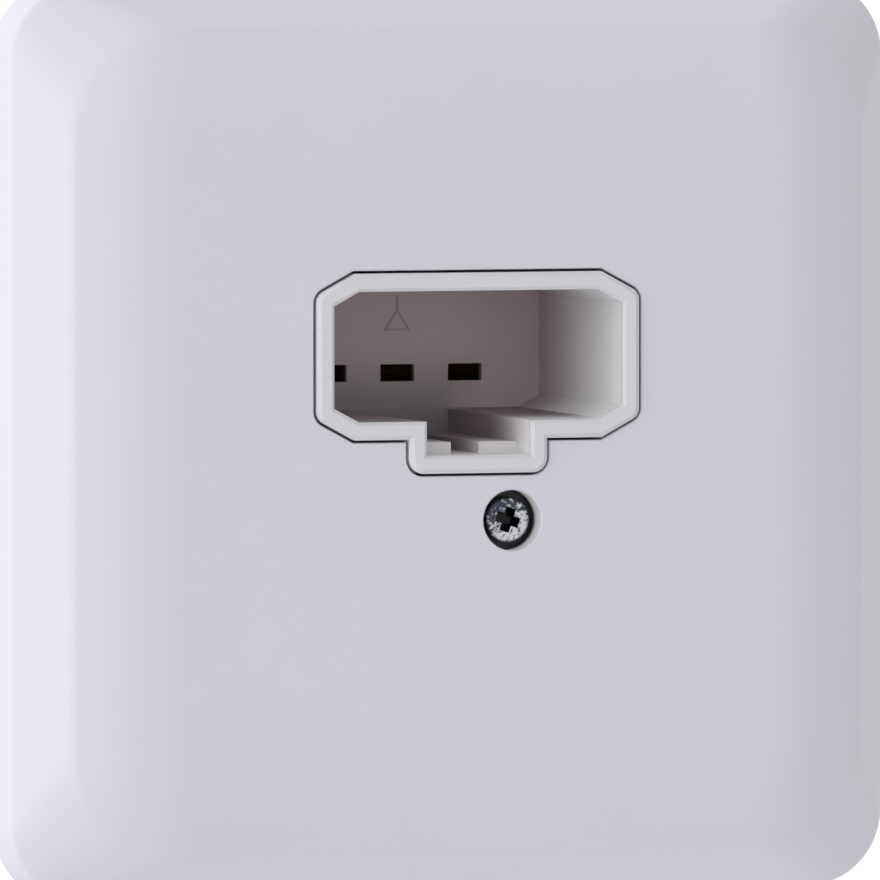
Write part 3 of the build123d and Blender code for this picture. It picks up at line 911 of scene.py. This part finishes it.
def sign_cord(sizes, foot, middle, floor):
    """The cord of the lamp sign, a thin raised line over the shade's tip."""
    bpy.ops.mesh.primitive_plane_add(size=1, rotation=(math.pi / 2, 0, 0))
    cord = bpy.context.object
    settle(cord)
    cord.scale = (sizes.sign_line, 1, sizes.sign_cord)
    tip = foot + sizes.sign_drop - sizes.sign_line
    cord.location = (middle, floor, tip + sizes.sign_cord / 2)
    settle(cord)
    edit(cord)
    bpy.ops.mesh.select_all(action="SELECT")
    bpy.ops.mesh.extrude_region_move(TRANSFORM_OT_translate={"value": (0, -sizes.sign_rise, 0)})
    bpy.ops.object.mode_set(mode="OBJECT")
    tidy_mesh(cord)
    return cord


class OUTLET_OT_lamp_sign(bpy.types.Operator):
    """Lamp sign moulded on the pocket floor: a pendant shade on its cord"""

    bl_idname = "outlet.lamp_sign"
    bl_label = "Lamp sign"

    def execute(self, context):
        sizes = context.scene.outlet_sizes
        finishes = context.scene.outlet_finishes
        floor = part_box("socket_housing")[0][1] + POCKET_DEPTH
        fork = node_middle("earth_fork")
        foot = fork.z + sizes.sign_place
        shade = sign_frame(sizes, foot, fork.x, floor)
        cord = sign_cord(sizes, foot, fork.x, floor)
        choose(shade, cord)
        bpy.ops.object.join()
        shade.name = "lamp_sign"
        # The sign is painted darker than the pocket's painted shade, a painted shade for the
        # shadows along its raised lines.
        faint = [SIGN_SHADE_TONE * part for part in finishes.pocket]
        white = plastic("Sign white", faint, ROUGHNESS["sign"])
        finish_piece(shade, white, "housing_plastic")
        return {"FINISHED"}


def seen_rays(tree):
    """1 for what the camera sees, directly or by way of what mirrors or passes light."""
    path = tree.nodes.new("ShaderNodeLightPath")
    seen = path.outputs["Is Camera Ray"]
    for kind in ("Is Transmission Ray", "Is Glossy Ray"):
        seen = calculate(tree, "MAXIMUM", seen, path.outputs[kind])
    return seen


def white_to_camera(tree, shader_socket, output):
    """Shows plain white where the camera sees the world, and a lit shader to the rest."""
    white = tree.nodes.new("ShaderNodeBackground")
    white.inputs["Color"].default_value = WHITE
    white.inputs["Strength"].default_value = 1.0
    mix = tree.nodes.new("ShaderNodeMixShader")
    tree.links.new(seen_rays(tree), mix.inputs["Fac"])
    tree.links.new(shader_socket, mix.inputs[1])
    tree.links.new(white.outputs["Background"], mix.inputs[2])
    tree.links.new(mix.outputs["Shader"], output.inputs["Surface"])


def light_room(stage):
    """Light from all round, stronger from the left and from behind; white to the camera."""
    world = bpy.data.worlds.new("Studio")
    bpy.context.scene.world = world
    world.use_nodes = True
    tree = world.node_tree
    background = tree.nodes["Background"]
    background.inputs["Color"].default_value = WHITE
    direction = tree.nodes.new("ShaderNodeTexCoord")
    axes = split_axes(tree, direction.outputs["Generated"])
    lean = calculate(tree, "MULTIPLY", axes["X"], -stage.lean * stage.ambient)
    back = calculate(tree, "MULTIPLY", axes["Y"], stage.back * stage.ambient)
    sides = calculate(tree, "ADD", lean, back)
    tree.links.new(calculate(tree, "ADD", sides, stage.ambient), background.inputs["Strength"])
    white_to_camera(tree, background.outputs["Background"], tree.nodes["World Output"])


def add_softbox(name, middle, size, power):
    """A large softbox turned to the object."""
    clear_selection()
    bpy.ops.object.light_add(type="AREA", location=middle)
    lamp = bpy.context.object
    lamp.name = name
    lamp.data.size = size
    lamp.data.energy = power
    lamp.rotation_euler = Vector(middle).to_track_quat("Z", "Y").to_euler()
    lamp.visible_glossy = False


def floor_material(stage):
    """Pale floor that catches the object's shadow."""
    material = bpy.data.materials.new("Floor")
    material.use_nodes = True
    tree = material.node_tree
    shader = tree.nodes["Principled BSDF"]
    spot = tree.nodes.new("ShaderNodeTexCoord")
    cloud = noise(tree, spot.outputs["Object"], scale=40.0, detail=2.0)
    tone = spread(tree, cloud, low=0.99, high=1.0)
    pale = tree.nodes.new("ShaderNodeRGB")
    pale.outputs["Color"].default_value = (*stage.floor, 1.0)
    tree.links.new(shade_colour(tree, pale.outputs["Color"], tone), shader.inputs["Base Color"])
    shader.inputs["Roughness"].default_value = ROUGHNESS["floor"]
    shader.inputs["Emission Color"].default_value = WHITE
    glow = calculate(tree, "MULTIPLY", seen_rays(tree), stage.floor_glow)
    tree.links.new(glow, shader.inputs["Emission Strength"])
    return material


def lay_floor(stage):
    clear_selection()
    height = CAD_BOX[0][2] - stage.floor_drop
    bpy.ops.mesh.primitive_plane_add(size=stage.floor_size, location=(0, 0, height))
    floor = bpy.context.object
    floor.name = "floor"
    settle(floor)
    floor.data.materials.append(floor_material(stage))


def set_camera(stage):
    """The camera at the photograph's viewing angle."""
    flat = math.cos(stage.elevation)
    back = Vector(
        (
            math.sin(stage.azimuth) * flat,
            -math.cos(stage.azimuth) * flat,
            math.sin(stage.elevation),
        )
    )
    right = Vector((math.cos(stage.azimuth), math.sin(stage.azimuth), 0.0))
    up = back.cross(right)
    aim = right * stage.aim_right + up * stage.aim_up
    clear_selection()
    bpy.ops.object.camera_add(location=aim + back * stage.distance)
    camera = bpy.context.object
    camera.name = "camera"
    camera.rotation_euler = back.to_track_quat("Z", "Y").to_euler()
    camera.data.sensor_width = FRAME_WIDTH
    camera.data.lens = stage.lens
    camera.data.clip_end = SIGHT
    bpy.context.scene.camera = camera


class OUTLET_OT_stage(bpy.types.Operator):
    """Floor, studio light and camera"""

    bl_idname = "outlet.stage"
    bl_label = "Stage"

    def execute(self, context):
        stage = context.scene.outlet_stage
        light_room(stage)
        add_softbox("key_softbox", stage.key_place, stage.softbox, stage.key_power)
        add_softbox("rim_softbox", stage.rim_place, stage.softbox, stage.rim_power)
        lay_floor(stage)
        set_camera(stage)
        context.scene.view_settings.view_transform = "Standard"
        return {"FINISHED"}


OPERATORS = (
    OUTLET_OT_cover_plate,
    OUTLET_OT_socket_housing,
    OUTLET_OT_metal_parts,
    OUTLET_OT_cover_screw,
    OUTLET_OT_body_screws,
    OUTLET_OT_lamp_sign,
    OUTLET_OT_stage,
)


class OUTLET_PT_panel(bpy.types.Panel):
    """Sidebar panel that lists the outlet's operators and values"""

    bl_idname = "OUTLET_PT_panel"
    bl_label = "Lighting outlet"
    bl_space_type = "VIEW_3D"
    bl_region_type = "UI"
    bl_category = "Outlet"

    def draw(self, context):
        for operator in OPERATORS:
            self.layout.operator(operator.bl_idname)
        for name, group in PROPERTY_GROUPS.items():
            box = self.layout.box()
            for label in group.__annotations__:
                box.prop(getattr(context.scene, name), label)


def register():
    for name, group in PROPERTY_GROUPS.items():
        bpy.utils.register_class(group)
        setattr(bpy.types.Scene, name, bpy.props.PointerProperty(type=group))
    for operator in OPERATORS:
        bpy.utils.register_class(operator)
    bpy.utils.register_class(OUTLET_PT_panel)


def unregister():
    bpy.utils.unregister_class(OUTLET_PT_panel)
    for operator in reversed(OPERATORS):
        bpy.utils.unregister_class(operator)
    for name, group in PROPERTY_GROUPS.items():
        delattr(bpy.types.Scene, name)
        bpy.utils.unregister_class(group)


def main():
    register()
    bpy.ops.outlet.cover_plate()
    bpy.ops.outlet.socket_housing()
    bpy.ops.outlet.metal_parts()
    bpy.ops.outlet.cover_screw()
    bpy.ops.outlet.body_screws()
    bpy.ops.outlet.lamp_sign()
    bpy.ops.outlet.stage()


if __name__ == "__main__":
    main()
